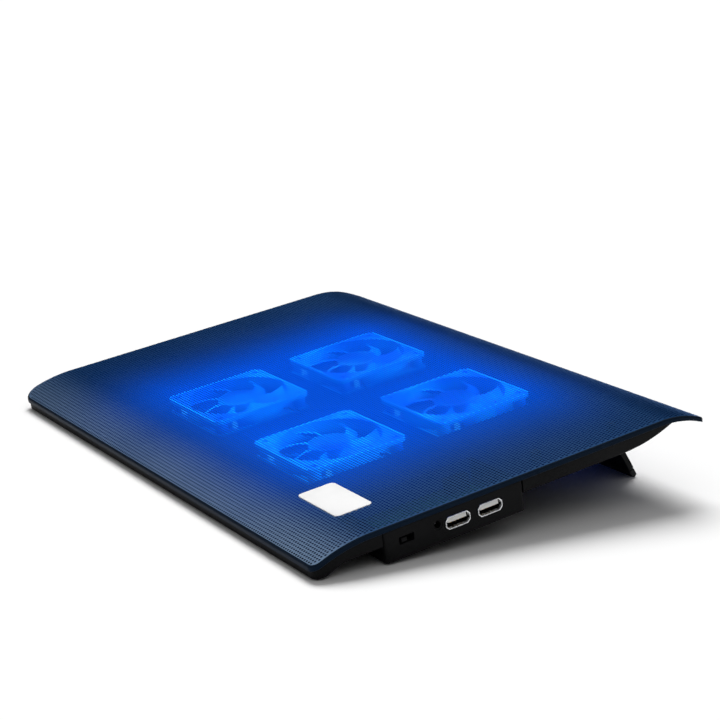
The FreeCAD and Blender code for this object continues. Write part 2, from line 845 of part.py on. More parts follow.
def board_screw_places():
    for x in ("hub_in + 7", "hub_out - 12"):
        for y in ("hub_front + 6", "hub_back - 6"):
            yield x, y


def make_hub_board():
    body = plan_prism("BoardPlate", rectangle(
        "hub_in + hub_wall + 0.4", "hub_out - hub_wall - 0.8",
        "hub_front + hub_wall + 0.4", "hub_back - hub_wall - 0.4"), "-(board_top + board)", "board")
    holes = [post(f"BoardHole{index}", x, y, "-board_top - board - 1", "-board_top + 1",
                  "board_screw + 0.25")
             for index, (x, y) in enumerate(board_screw_places())]
    finish(cut("HubBoard", body, fuse("BoardHoles", holes)), "hub_board")
    screws = []
    for index, (x, y) in enumerate(board_screw_places()):
        shank = post(f"BoardShank{index}", x, y, "-(hub_depth - hub_wall) - 0.4", "-board_top",
                     "board_screw")
        head = post(f"BoardHead{index}", x, y, "-board_top", "-board_top + 1.3", "board_screw_head")
        screws.append(fuse(f"BoardScrew{index}", [shank, head]))
    finish(group("BoardScrews", screws), "board_screws")


def port_profile(width, height, chamfer, y="0", z="0"):
    """A rectangle with cut corners about y, z in the port face's plane: y across, z up."""
    half = f"({width}) / 2"
    tall = f"({height}) / 2"
    corners = [
        (f"-{half} + {chamfer}", f"-{tall}"),
        (f"{half} - {chamfer}", f"-{tall}"),
        (half, f"-{tall} + {chamfer}"),
        (half, f"{tall} - {chamfer}"),
        (f"{half} - {chamfer}", tall),
        (f"-{half} + {chamfer}", tall),
        (f"-{half}", f"{tall} - {chamfer}"),
        (f"-{half}", f"-{tall} + {chamfer}"),
    ]
    return [(f"{y} + ({across})", f"{z} + ({up})") for across, up in corners]


def loft_between(name, first, second):
    """A straight loft between two outlines, each (depth behind the mouth, width, height, chamfer)."""
    body = new_body(name)
    sketches = []
    for index, (depth, width, height, chamfer) in enumerate((first, second)):
        sketch = new_sketch(body, f"{name}Section{index}", "YZ_Plane", f"-({depth})")
        outline(sketch, port_profile(width, height, chamfer))
        sketches.append(sketch)
    loft = body.newObject("PartDesign::AdditiveLoft", name + "Loft")
    loft.Profile = sketches[0]
    loft.Sections = [sketches[1]]
    loft.Ruled = True
    body.Tip = loft
    return body


def make_port(port):
    """A flared steel shell, a white tongue under its roof and four contacts below the tongue."""
    name = f"Port{port}"
    y = f"port_first + {port - 1} * port_step"
    place = ("half_width - 0.05", y, "-port_level")
    wide = "port_width + 2 * port_flare"
    tall = "port_height + 2 * port_flare"
    metal = "2 * port_metal"
    outside = ("port_width", "port_height", "0.9")
    inside = (f"port_width - {metal}", f"port_height - {metal}", "0.8")
    neck = "port_flare_depth"
    tube = loft_between(name + "Tube", (neck, *outside), ("port_length", *outside))
    flare = loft_between(name + "Flare", ("0", wide, tall, "port_mouth_cut"), (neck, *outside))
    tube_in = loft_between(name + "TubeIn", (neck, *inside), ("port_length - 0.4", *inside))
    mouth = ("-0.01", f"{wide} - {metal}", f"{tall} - {metal}", "port_mouth_cut - 0.1")
    flare_in = loft_between(name + "FlareIn", mouth, (neck, *inside))
    shell = cut(name + "Shell", fuse(name + "Out", [tube, flare]), fuse(name + "In", [tube_in, flare_in]))
    finish(shell, f"usb_shell_{port}", *place)
    roof = "port_height / 2 - port_metal - 0.12"
    half = "(port_width / 2 - 1.1)"
    tongue = box(name + "Tongue", "-(port_length - 0.5)", "-tongue_front", f"-{half}", half,
                 f"{roof} - tongue", roof)
    smooth = fillet(name + "TongueRounded", tongue, "0.4",
                    lambda edge: lies_at(edge, "X", -value("tongue_front")))
    finish(smooth, f"usb_tongue_{port}", *place)
    strips = [box(f"{name}Strip{index}", "-(port_length - 1)", "-(tongue_front + 0.6)",
                  f"{across} - 0.5", f"{across} + 0.5", f"{roof} - tongue - 0.25", f"{roof} - tongue")
              for index, across in enumerate((-3.5, -1.1, 1.1, 3.5))]
    finish(group(name + "Contacts", strips), f"usb_contacts_{port}", *place)


def make_switch():
    """A slide switch: body on the board, slider that shows in the housing's window."""
    place = ("hub_out - hub_wall - 0.2", "switch_y", "-switch_level")
    body = box("SwitchBlock", "-6", "0", "-5", "5", "-(board_top - switch_level)", "2.9")
    slot = box("SwitchSlot", "-2.6", "1", "-4", "4", "-1.6", "1.6")
    finish(cut("SwitchBody", body, slot), "switch_body", *place)
    foot = box("SliderFoot", "-2.3", "-0.4", "-3.7", "0.7", "-1.35", "1.35")
    knob = box("SliderKnob", "-1", "hub_wall + 0.35", "-3.1", "0.1", "-1.1", "1.1")
    smooth = fillet("SliderRounded", fuse("SliderWhole", [foot, knob]), "0.3",
                    lambda edge: lies_at(edge, "X", value("hub_wall + 0.35")))
    finish(smooth, "switch_slider", *place)


def make_jack():
    """A coaxial power inlet: round nose in the housing, pin in the middle of its bore."""
    place = ("hub_out - 0.2", "jack_y", "-jack_level")
    block = box("JackBlock", "-12", "-(hub_wall + 0.1)", "-4", "4", "-(board_top - jack_level)", "3.4")
    nose = rod("JackNose", "-(hub_wall + 0.2)", "0", "0", "0", "2.7")
    bore = rod("JackBore", "-9.5", "1", "0", "0", "jack_bore")
    finish(cut("JackBody", fuse("JackSolid", [block, nose]), bore), "jack_body", *place)
    pin = rod("JackPin", "-9.5", "-jack_pin_end", "0", "0", "jack_pin")
    finish(group("JackPinKept", [pin]), "jack_pin", *place)


# ---------------------------------------------------------------- leads

def rounded_path(points, share=0.45):
    """Straight runs joined by tangent arcs, each as large as its two runs allow."""
    edges = []
    start = points[0]
    for before, corner, after in zip(points, points[1:], points[2:]):
        into = (corner - before).normalize()
        out = (after - corner).normalize()
        turn = into.getAngle(out)
        reach = share * min((corner - before).Length, (after - corner).Length)
        radius = reach / math.tan(turn / 2)
        begin = corner - into * reach
        end = corner + out * reach
        centre = begin + (end - begin - into * (end - begin).dot(into)).normalize() * radius
        middle = centre + (corner - centre).normalize() * radius
        edges.append(Part.LineSegment(start, begin).toShape())
        edges.append(Part.Arc(begin, middle, end).toShape())
        start = end
    edges.append(Part.LineSegment(start, points[-1]).toShape())
    return Part.Wire(edges)


def tube_along(points, radius):
    """A round tube along a rounded path, with its volume checked against its length."""
    path = rounded_path(points)
    direction = (points[1] - points[0]).normalize()
    section = Part.Wire([Part.makeCircle(radius, points[0], direction)])
    tube = path.makePipeShell([section], True, False)
    expected = math.pi * radius ** 2 * path.Length
    if abs(tube.Volume - expected) > 0.02 * expected:
        raise RuntimeError("a lead's tube has the wrong volume")
    return tube


def lead_routes():
    """Each lead leaves its frame above the tray floor and ends at its header on the board."""
    level = -value("side_depth - base_wall") + LEAD_RADIUS + 0.05
    reach = math.sqrt(value("fan_bore + fan_duct + 0.7") ** 2 - 14.2 ** 2)
    left = reach - value("fan_x")
    right = reach + value("fan_x")
    middle = value("fan_y")
    header = value("hub_in + hub_wall") + 4
    turns = {
        1: [(left, middle - 26), (-6, middle - 20), (4, middle - 2.4), (94, middle - 3), (112, 101)],
        2: [(right, middle - 26), (92, middle - 22), (108, 97.5)],
        3: [(left, middle + 26), (-6, middle + 20), (6, middle + 2.4), (94, middle + 1), (114, 104.6)],
        4: [(right, middle + 26), (93, middle + 18), (112, 107.6)],
    }
    ends = {1: 100, 2: 96.5, 3: 103.1, 4: 106.2}
    for number, route in turns.items():
        yield number, [Vector(x, y, level) for x, y in route + [(header, ends[number])]]


def make_leads():
    tubes = []
    headers = []
    for number, route in lead_routes():
        feature = doc.addObject("Part::Feature", f"Lead{number}")
        feature.Shape = tube_along(route, LEAD_RADIUS)
        tubes.append(feature)
        x, y, z = route[-1]
        front = x + HEADER_GAP
        headers.append(box(f"Header{number}", str(front), str(front + 5.5), str(y - HEADER_HALF),
                           str(y + HEADER_HALF), "-board_top", str(z + HEADER_HALF)))
    finish(group("FanLeads", tubes), "fan_leads")
    finish(group("LeadHeaders", headers), "lead_headers")


# ---------------------------------------------------------------- fasteners, feet and pads

def make_screw(name, x, y, bottom, top, shank, head):
    stem = post(name + "Shank", x, y, bottom, top, shank)
    cap = post(name + "Head", x, y, f"({bottom}) - screw_head_height", bottom, head)
    smooth = fillet(name + "Cap", cap, "0.5",
                    lambda edge: lies_at(edge, "Z", value(f"({bottom}) - screw_head_height")))
    return fuse(name, [stem, smooth])


def make_screws():
    fan_screws = [make_screw(f"FanScrew{index}", x, y, "-pan_depth", "-(fan_top + fan_height) + 6",
                             "fan_hole - 0.1", "screw_head")
                  for index, (x, y) in enumerate(fan_hole_places())]
    finish(group("FanScrews", fan_screws), "fan_screws")
    studs = []
    cover_screws = []
    for index, (x, y) in enumerate(stud_places()):
        stud = post(f"Stud{index}", x, y, "-(sheet + stud_length)", "-(sheet + stud_seam)", "stud_radius")
        bore = post(f"StudBore{index}", x, y, "-(sheet + stud_length + 1)", "-(sheet + 0.5)", "stud_bore")
        studs.append(cut(f"StudWhole{index}", stud, bore))
        cover_screws.append(make_screw(f"CoverScrew{index}", x, y, "-side_depth", "-(sheet + 0.8)",
                                       "screw_radius", "screw_head"))
    finish(group("CoverStuds", studs), "cover_studs")
    finish(group("CoverScrews", cover_screws), "cover_screws")


def foot_reach():
    """Distance from hinge to tip at which the open foot's rounded end just meets the floor."""
    hinge_rise = "(deck_rise + foot_pivot_y * sin(tilt) - foot_pivot_depth * cos(tilt))"
    slant = "(foot_open - tilt)"
    off_middle = "(foot_thick / 2 - foot_tip_round)"
    drop = f"({hinge_rise} - foot_tip_round - {off_middle} * cos{slant})"
    return f"foot_tip_round + {drop} / sin{slant}"


def make_foot(name, side):
    """A flat leg with its hinge barrel and a shallow finger recess, opened past upright to its stop."""
    title = name.capitalize()
    half = "foot_thick / 2"
    leg_corners = rounded("foot_in", "foot_out", "0", "foot_length", "0.6", "2")
    leg = plan_prism(f"Leg{title}", leg_corners, f"-{half}", "foot_thick")
    barrel = rod(f"Barrel{title}", "foot_in", "foot_out", "0", "0", "foot_barrel")
    solid = fuse(f"FootSolid{title}", [leg, barrel])
    recess = box(f"Recess{title}", "foot_in + 8", "foot_out - 8", "12", "26", f"{half} - 0.8", f"{half} + 1")
    hole = rod(f"FootBore{title}", "foot_in - 1", "foot_out + 1", "0", "0", "foot_pin + foot_play")
    foot = cut(f"Foot{title}", solid, fuse(f"FootCuts{title}", [recess, hole]))
    place_foot_piece(foot, f"rear_foot_{name}", side)

    reach = foot_reach()
    tip_corners = [
        ("foot_length", f"-{half}"),
        (f"{reach} - foot_tip_round", f"-{half}", "foot_tip_round"),
        (reach, f"-{half} + foot_tip_round"),
        (reach, f"{half} - foot_tip_round", "foot_tip_round"),
        (f"{reach} - foot_tip_round", half),
        ("foot_length", half),
    ]
    tip = side_prism(f"Tip{title}", tip_corners, "foot_out - foot_in - 1", "(foot_in + foot_out) / 2")
    place_foot_piece(tip, f"foot_tip_{name}", side)

    pin = rod(f"FootPin{title}", "foot_in - lug_gap - lug", "foot_out + lug_gap + lug", "0", "0", "foot_pin")
    place_at_hinge(group(f"FootPinKept{title}", [pin]), f"foot_pin_{name}", side)


def place_at_hinge(item, label, side):
    """Seats a piece drawn on the right foot's hinge line at that foot's hinge or at its opposite."""
    shift = "0" if side > 0 else "-(foot_in + foot_out)"
    finish(item, label, shift, "foot_pivot_y", "-foot_pivot_depth")


def place_foot_piece(item, label, side):
    """Turns a piece drawn flat along +y down to the foot's open angle about the hinge."""
    place_at_hinge(item, label, side)
    bind(item, Placement__Rotation__Angle="foot_open - tilt")
    item.Placement.Rotation = Rotation(Vector(-1, 0, 0), value("foot_open - tilt"))


def floor_depth(y):
    """Depth of the floor below the deck plane, in the deck frame, at y."""
    return f"-(deck_rise + ({y}) * sin(tilt)) / cos(tilt)"


def make_rubber():
    """Wedge pads under the rim, with soles level with the floor, and round pads under the pan."""
    wedges = []
    for name, side in SIDES.items():
        corners = [
            ("-1.4", "-rim_depth"),
            ("-1.4", floor_depth("-1.4")),
            ("3.6", floor_depth("3.6")),
            ("3.6", "-rim_depth"),
        ]
        wedges.append(side_prism(f"FrontPad{name.capitalize()}", corners[::-1], "60", f"{side} * 110"))
    finish(group("FrontPads", wedges), "front_pads")
    rounds = []
    for across in (-1, 1):
        for index, y in enumerate(("pan_front + pad_in_end", "pan_back - pad_in_end")):
            pad = post(f"PanPad{across + 1}{index}", f"{across} * (pan_half_width - pad_in_side)", y,
                       "-(pan_depth + pad_height)", "-pan_depth", "pad_radius")
            rounds.append(fillet(f"PanPadRound{across + 1}{index}", pad, "0.7",
                                 lambda edge: lies_at(edge, "Z", -value("pan_depth + pad_height"))))
    finish(group("BasePads", rounds), "base_pads")


# ---------------------------------------------------------------- build, check and write

def main():
    make_mesh_cover()
    make_badge_plate()
    make_base_shell()
    for number in FANS:
        make_fan_frame(number)
        make_rotor(number)
        make_motor(number)
        make_lamps(number)
    make_hub_housing()
    make_hub_board()
    for port in (1, 2):
        make_port(port)
    make_switch()
    make_jack()
    make_leads()
    make_screws()
    for name, side in SIDES.items():
        make_foot(name, side)
    make_rubber()
    doc.recompute()

    faults = [f"{item.Label}: {item.State}" for item in doc.Objects
              if "Invalid" in item.State or "Error" in item.State]
    faults += [item.Label for item in subparts if item.Shape.isNull() or not item.Shape.isValid()]
    if faults:
        raise RuntimeError("failed objects: " + ", ".join(faults))

    os.makedirs("parts", exist_ok=True)
    whole = FreeCAD.BoundBox()
    for item in subparts:
        item.Shape.exportStep(os.path.join("parts", item.Label + ".step"))
        whole.add(item.Shape.BoundBox)
    print(len(subparts), "sub-parts;", whole)


main()
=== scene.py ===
"""Looks of the laptop cooling pad: the perforated deck, its blank badge, and a material for every piece."""

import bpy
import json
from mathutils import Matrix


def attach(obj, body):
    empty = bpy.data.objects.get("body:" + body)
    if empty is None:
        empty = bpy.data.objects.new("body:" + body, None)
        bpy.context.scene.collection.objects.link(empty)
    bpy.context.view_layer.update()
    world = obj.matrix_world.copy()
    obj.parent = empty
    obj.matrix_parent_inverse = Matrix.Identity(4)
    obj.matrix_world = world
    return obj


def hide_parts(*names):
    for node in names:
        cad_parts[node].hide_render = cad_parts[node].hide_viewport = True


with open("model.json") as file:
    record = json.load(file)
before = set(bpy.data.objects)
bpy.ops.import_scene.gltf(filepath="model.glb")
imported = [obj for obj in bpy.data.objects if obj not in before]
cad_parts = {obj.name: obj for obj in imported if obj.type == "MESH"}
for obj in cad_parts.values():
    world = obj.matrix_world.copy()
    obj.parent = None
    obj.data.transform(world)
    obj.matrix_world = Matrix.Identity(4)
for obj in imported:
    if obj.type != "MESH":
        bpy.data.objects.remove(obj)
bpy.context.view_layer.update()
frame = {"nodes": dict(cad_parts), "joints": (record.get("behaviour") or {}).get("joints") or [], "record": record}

import json
import math

import bpy
import numpy as np
from mathutils import Matrix, Vector
from mathutils.geometry import delaunay_2d_cdt

# ---------------------------------------------------------------- the deck's own frame

# Deck coordinates, in metres: x across, y along the deck from the front, z square to it with 0 on its flat
# top. FAN_MIDDLE is the y midway between the fans, and FAN_DEPTH is how far their centres lie below the top.
FAN_MIDDLE = 0.1204
FAN_DEPTH = 0.007
spins = [joint for joint in frame["joints"] if joint.get("continuous")]
normal = Vector(spins[0]["axis"]).normalized()
along = Vector((0, normal.z, -normal.y))
TILT = math.asin(along.z)
middle = sum((Vector(joint["pos_m"]) for joint in spins), Vector()) / len(spins)
DECK_ORIGIN = middle - along * FAN_MIDDLE + normal * FAN_DEPTH
DECK = Matrix.Translation(DECK_ORIGIN) @ Matrix.Rotation(TILT, 4, "X")
fan_centre = DECK.inverted() @ Vector(spins[0]["pos_m"])
FAN_X = abs(fan_centre.x)
FAN_Y = abs(fan_centre.y - FAN_MIDDLE)

# ---------------------------------------------------------------- camera, light and floor

CAMERA_PLACE = Vector((0.8565, -0.5240, 0.3160))
CAMERA_YAW = math.radians(57.80)
CAMERA_PITCH = math.radians(14.82)
LENS = 94.03
SUN_TOWARDS = (-0.55, 0.30, 0.80)
SUN_STRENGTH = 3.1
SUN_SPREAD = 35
DOME_DIM = 0.07
DOME_BRIGHT = 0.92
DOME_FILL = 0.6
FLOOR_HALF = 12.0


def add_camera():
    data = bpy.data.cameras.new("camera")
    data.lens = LENS
    data.sensor_width = 36
    data.clip_end = 100
    camera = bpy.data.objects.new("camera", data)
    bpy.context.scene.collection.objects.link(camera)
    camera.location = CAMERA_PLACE
    camera.rotation_euler = (math.pi / 2 - CAMERA_PITCH, 0, CAMERA_YAW)
    bpy.context.scene.camera = camera


def add_sun(name, towards, strength, spread):
    """A soft distant light that comes from the direction towards and leaves no highlight of its own."""
    data = bpy.data.lights.new(name, "SUN")
    data.energy = strength
    data.angle = math.radians(spread)
    lamp = bpy.data.objects.new(name, data)
    lamp.rotation_euler = Vector(towards).to_track_quat("Z", "Y").to_euler()
    lamp.visible_glossy = False
    bpy.context.scene.collection.objects.link(lamp)


def add_world():
    """A studio dome, bright overhead and dim near the horizon, that the camera sees as plain white."""
    world = bpy.data.worlds.new("studio")
    bpy.context.scene.world = world
    world.use_nodes = True
    tree = Tree(world.node_tree)
    height = tree.add("SeparateXYZ", Vector=tree.add("TexCoord")["Generated"])["Z"]
    dome = tree.ramp(height, 0.30, 0.95, DOME_DIM, DOME_BRIGHT)
    path = tree.add("LightPath")
    dome = tree.math("MULTIPLY", dome, tree.mix(path["Is Diffuse Ray"], 1.0, DOME_FILL))
    strength = tree.mix(path["Is Camera Ray"], dome, 1.0)
    background = tree.add("Background", Color=(1, 1, 1, 1), Strength=strength)["Background"]
    tree.link(background, tree.add("OutputWorld"), "Surface")


def add_floor():
    """A plain pale floor, wide enough to fill every view."""
    corners = [(FLOOR_HALF * x, FLOOR_HALF * y, 0) for x, y in ((-1, -1), (1, -1), (1, 1), (-1, 1))]
    mesh = bpy.data.meshes.new("floor")
    mesh.from_pydata(corners, [], [(0, 1, 2, 3)])
    floor = bpy.data.objects.new("floor", mesh)
    bpy.context.scene.collection.objects.link(floor)
    material, tree, shader = new_material("floor")
    grain = tree.noise(tree.add("TexCoord")["Object"], 3.0, 2)
    tree.link(tree.blend(grain, (0.90, 0.90, 0.90), (0.92, 0.92, 0.92)), shader, "Base Color")
    shader.inputs["Roughness"].default_value = 0.9
    shader.inputs["Specular IOR Level"].default_value = 0.0
    mesh.materials.append(material)


# ---------------------------------------------------------------- node helpers

class Tree:
    """Short ways to add and join shader nodes."""

    def __init__(self, node_tree):
        self.nodes = node_tree.nodes
        self.links = node_tree.links
        self.nodes.clear()

    def link(self, value, node, socket):
        """Feeds a socket with another node's output or with a constant."""
        target = node.inputs[socket]
        if isinstance(value, bpy.types.NodeSocket):
            self.links.new(value, target)
        else:
            target.default_value = value

    def new(self, kind, **settings):
        node = self.nodes.new(kind)
        for name, value in settings.items():
            setattr(node, name, value)
        return node

    def add(self, kind, **inputs):
        """Adds a plain shader node, and returns its outputs, or the node itself if it has none."""
        node = self.nodes.new("ShaderNode" + kind)
        for name, value in inputs.items():
            self.link(value, node, name)
        return node.outputs if len(node.outputs) else node

    def math(self, operation, a, b=0.0, clamp=False):
        node = self.new("ShaderNodeMath", operation=operation, use_clamp=clamp)
        self.link(a, node, 0)
        self.link(b, node, 1)
        return node.outputs[0]

    def vector(self, operation, a, b=(0, 0, 0)):
        node = self.new("ShaderNodeVectorMath", operation=operation)
        self.link(a, node, 0)
        self.link(b, node, 1)
        return node.outputs["Value" if operation in ("LENGTH", "DISTANCE", "DOT_PRODUCT") else "Vector"]

    def ramp(self, value, low, high, out_low=0.0, out_high=1.0):
        """A smooth step of value between low and high."""
        node = self.new("ShaderNodeMapRange", interpolation_type="SMOOTHSTEP")
        for index, number in enumerate((value, low, high, out_low, out_high)):
            self.link(number, node, index)
        return node.outputs[0]

    def mix(self, factor, a, b):
        node = self.new("ShaderNodeMix", data_type="FLOAT")
        self.link(factor, node, "Factor")
        self.link(a, node, 2)
        self.link(b, node, 3)
        return node.outputs[0]

    def blend(self, factor, a, b):
        """A mix of two colours."""
        node = self.new("ShaderNodeMix", data_type="RGBA")
        self.link(factor, node, "Factor")
        for socket, colour in ((6, a), (7, b)):
            if isinstance(colour, tuple):
                colour = (*colour[:3], 1.0)
            self.link(colour, node, socket)
        return node.outputs[2]

    def noise(self, place, scale, detail=3, roughness=0.55):
        node = self.new("ShaderNodeTexNoise")
        self.link(place, node, "Vector")
        self.link(scale, node, "Scale")
        self.link(detail, node, "Detail")
        self.link(roughness, node, "Roughness")
        return node.outputs["Fac"]

    def cells(self, place, scale):
        """Distance to the nearest of the scattered points."""
        node = self.new("ShaderNodeTexVoronoi")
        self.link(place, node, "Vector")
        self.link(scale, node, "Scale")
        return node.outputs["Distance"]

    def bump(self, height, strength, distance):
        node = self.new("ShaderNodeBump")
        self.link(height, node, "Height")
        self.link(strength, node, "Strength")
        self.link(distance, node, "Distance")
        return node.outputs["Normal"]

    def deck(self, place):
        """The deck coordinates of a place in the object's own coordinates."""
        node = self.new("ShaderNodeMapping", vector_type="TEXTURE")
        self.link(place, node, "Vector")
        node.inputs["Location"].default_value = DECK_ORIGIN
        node.inputs["Rotation"].default_value = (TILT, 0, 0)
        return node.outputs["Vector"]


def new_material(name):
    material = bpy.data.materials.new(name)
    material.use_nodes = True
    tree = Tree(material.node_tree)
    shader = tree.new("ShaderNodeBsdfPrincipled")
    tree.links.new(shader.outputs[0], tree.add("OutputMaterial").inputs["Surface"])
    return material, tree, shader


# ---------------------------------------------------------------- materials

# The fans' light, painted on as emission in the deck's paint and inside the tray and the hub: its colour, how far
# its full strength runs past the fans' centres, the reach of its near and wide parts, and how much faster it fades
# ahead of the fans and behind them than beside them.
GLOW = (0.002, 0.110, 1.0)
GLOW_MARGIN = 0.020
GLOW_NEAR = 0.046
GLOW_WIDE = 0.060
GLOW_NEAR_PART = 0.85
FADE_AHEAD = 1.35
FADE_BEHIND = 1.9
DECK_GLOW = 0.42
HOLE_WALL_GLOW = 0.95
TRAY_GLOW = 0.45
FAN_GLOW = 3.8

# The paint's painted glow tint over the fans and its painted sheen on the front lip, the tint of its shallow
# reflections, and the y where the lip's painted sheen starts and is whole.
PAINTED_GLOW_TINT = (0.02, 0.10, 0.36)
PAINTED_LIP_SHEEN = (0.38, 0.52, 0.68)
PAINT_TINT = (0.19, 0.50, 1.0, 1.0)
LIP_SHEEN_START = 0.034
LIP_SHEEN_WHOLE = -0.002

# Spaces inside the black pieces where the fans' light is painted on as emission. Each is its half width, front,
# back and floor, in deck coordinates.
TRAY_ROOMS = ((0.0816, 0.0437, 0.1975, -0.0152), (0.1676, 0.0005, 0.2140, -0.0092))
HUB_ROOMS = ((0.1676, 0.0380, 0.1150, -0.0175),)

# Distances from a fan's middle where its bright rim begins and is whole, and where its dim hub ends, and the
# heights between which the light fades towards the fan's underside.
FRAME_RIM = (0.0282, 0.0296)
ROTOR_HUB = (0.0095, 0.0135)
FAN_LIT = (-0.0122, -0.0050)

# The x in the sockets' shells where the bright mouth gives way to the painted shade of the dark inside, and half
# the width of the change.
SOCKET_MOUTH = 0.1685
SOCKET_FADE = 0.0006


def glow_share(tree, place):
    """How much of the fans' painted glow a place gets, from 1 over the fans to 0 at the deck's edges."""
    parts = tree.add("SeparateXYZ", Vector=tree.deck(place))
    reach_y = FAN_Y + GLOW_MARGIN
    off_x = tree.math("SUBTRACT", tree.math("ABSOLUTE", parts["X"]), FAN_X + GLOW_MARGIN)
    from_middle = tree.math("SUBTRACT", parts["Y"], FAN_MIDDLE)
    ahead = tree.math("SUBTRACT", tree.math("MULTIPLY", from_middle, -1.0), reach_y)
    ahead = tree.math("MULTIPLY", ahead, FADE_AHEAD)
    behind = tree.math("MULTIPLY", tree.math("SUBTRACT", from_middle, reach_y), FADE_BEHIND)
    off_x = tree.math("MAXIMUM", off_x, 0.0)
    off_y = tree.math("MAXIMUM", tree.math("MAXIMUM", ahead, behind), 0.0)
    squared = tree.math("ADD", tree.math("POWER", off_x, 2.0), tree.math("POWER", off_y, 2.0))
    near_part = tree.math("POWER", math.e, tree.math("DIVIDE", squared, -GLOW_NEAR ** 2))
    wide_part = tree.math("POWER", math.e, tree.math("DIVIDE", tree.math("SQRT", squared), -GLOW_WIDE))
    return tree.mix(GLOW_NEAR_PART, wide_part, near_part)


def coat_of_paint(name, glow, low, high, metallic=1.0, specular=0.30):
    """Blue metallic satin paint with a fine orange peel. Where glow is given, the fans' light is painted on as a
    blue tint and as emission in proportion to glow, and a sheen is painted on the front lip.
    """
    material, tree, shader = new_material(name)
    place = tree.add("TexCoord")["Object"]
    broad = tree.noise(place, 9.0, 3)
    fine = tree.noise(place, 900.0, 2)
    worn = tree.ramp(tree.noise(place, 45.0, 5, 0.7), 0.60, 0.80)
    colour = tree.blend(broad, low, high)
    colour = tree.blend(tree.math("MULTIPLY", fine, 0.25), colour, tuple(1.5 * c for c in high))
    # Painted light: the fans' glow, as a blue tint in the colour and as emission over the fans.
    if glow:
        share = glow_share(tree, place)
        colour = tree.blend(share, colour, PAINTED_GLOW_TINT)
        parts = tree.add("SeparateXYZ", Vector=tree.deck(place))
        # Painted sheen: the front lip is painted lighter, as where the real sheet reflects the bright sky.
        lip_sheen = tree.ramp(parts["Y"], LIP_SHEEN_START, LIP_SHEEN_WHOLE)
        lip_sheen = tree.math("MULTIPLY", lip_sheen, tree.ramp(broad, 0.1, 0.9, 0.55, 0.75))
        colour = tree.blend(lip_sheen, colour, PAINTED_LIP_SHEEN)
        shader.inputs["Emission Color"].default_value = (*GLOW, 1)
        tree.link(tree.math("MULTIPLY", share, glow), shader, "Emission Strength")
    tree.link(colour, shader, "Base Color")
    shader.inputs["Metallic"].default_value = metallic
    shader.inputs["Specular Tint"].default_value = PAINT_TINT
    rough = tree.ramp(broad, 0.3, 0.7, 0.31, 0.37)
    tree.link(tree.math("ADD", rough, tree.math("MULTIPLY", worn, 0.08)), shader, "Roughness")
    tree.link(tree.bump(fine, 0.12, 0.0002), shader, "Normal")
    shader.inputs["Specular IOR Level"].default_value = specular
    return material


def black_plastic(name, rooms=()):
    """Matte black moulded plastic with a fine spark-eroded texture. The fans' light is painted into the rooms as
    emission.
    """
    material, tree, shader = new_material(name)
    place = tree.add("TexCoord")["Object"]
    broad = tree.noise(place, 14.0, 3)
    grain = tree.cells(place, 1400.0)
    scuffs = tree.ramp(tree.noise(place, 60.0, 5, 0.7), 0.58, 0.75)
    colour = tree.blend(broad, (0.0020, 0.0021, 0.0026), (0.0032, 0.0034, 0.0042))
    colour = tree.blend(tree.math("MULTIPLY", scuffs, 0.25), colour, (0.012, 0.013, 0.015))
    tree.link(colour, shader, "Base Color")
    tree.link(tree.ramp(broad, 0.3, 0.7, 0.46, 0.60), shader, "Roughness")
    tree.link(tree.bump(grain, 0.25, 0.0002), shader, "Normal")
    shader.inputs["Specular IOR Level"].default_value = 0.10
    # Painted light: the fans' glow pooled on the plastic inside the rooms, as emission.
    if rooms:
        parts = tree.add("SeparateXYZ", Vector=tree.deck(place))
        x = tree.math("ABSOLUTE", parts["X"])
        inside = 0.0
        for half_width, front, back, floor in rooms:
            here = tree.math("LESS_THAN", x, half_width)
            here = tree.math("MULTIPLY", here, tree.math("GREATER_THAN", parts["Y"], front))
            here = tree.math("MULTIPLY", here, tree.math("LESS_THAN", parts["Y"], back))
            here = tree.math("MULTIPLY", here, tree.math("GREATER_THAN", parts["Z"], floor))
            inside = tree.math("MAXIMUM", here, inside)
        share = tree.math("MULTIPLY", glow_share(tree, place), inside)
        shader.inputs["Emission Color"].default_value = (*GLOW, 1)
        tree.link(tree.math("MULTIPLY", share, TRAY_GLOW), shader, "Emission Strength")
    return material


def from_fan(tree, place):
    """A place's distances from the nearest fan's middle, across, along and radial, and its height."""
    parts = tree.add("SeparateXYZ", Vector=tree.deck(place))
    across = tree.math("SUBTRACT", tree.math("ABSOLUTE", parts["X"]), FAN_X)
    from_middle = tree.math("ABSOLUTE", tree.math("SUBTRACT", parts["Y"], FAN_MIDDLE))
    along_deck = tree.math("SUBTRACT", from_middle, FAN_Y)
    across = tree.math("ABSOLUTE", across)
    along_deck = tree.math("ABSOLUTE", along_deck)
    squares = tree.math("ADD", tree.math("POWER", across, 2.0), tree.math("POWER", along_deck, 2.0))
    return across, along_deck, tree.math("SQRT", squares), parts["Z"]


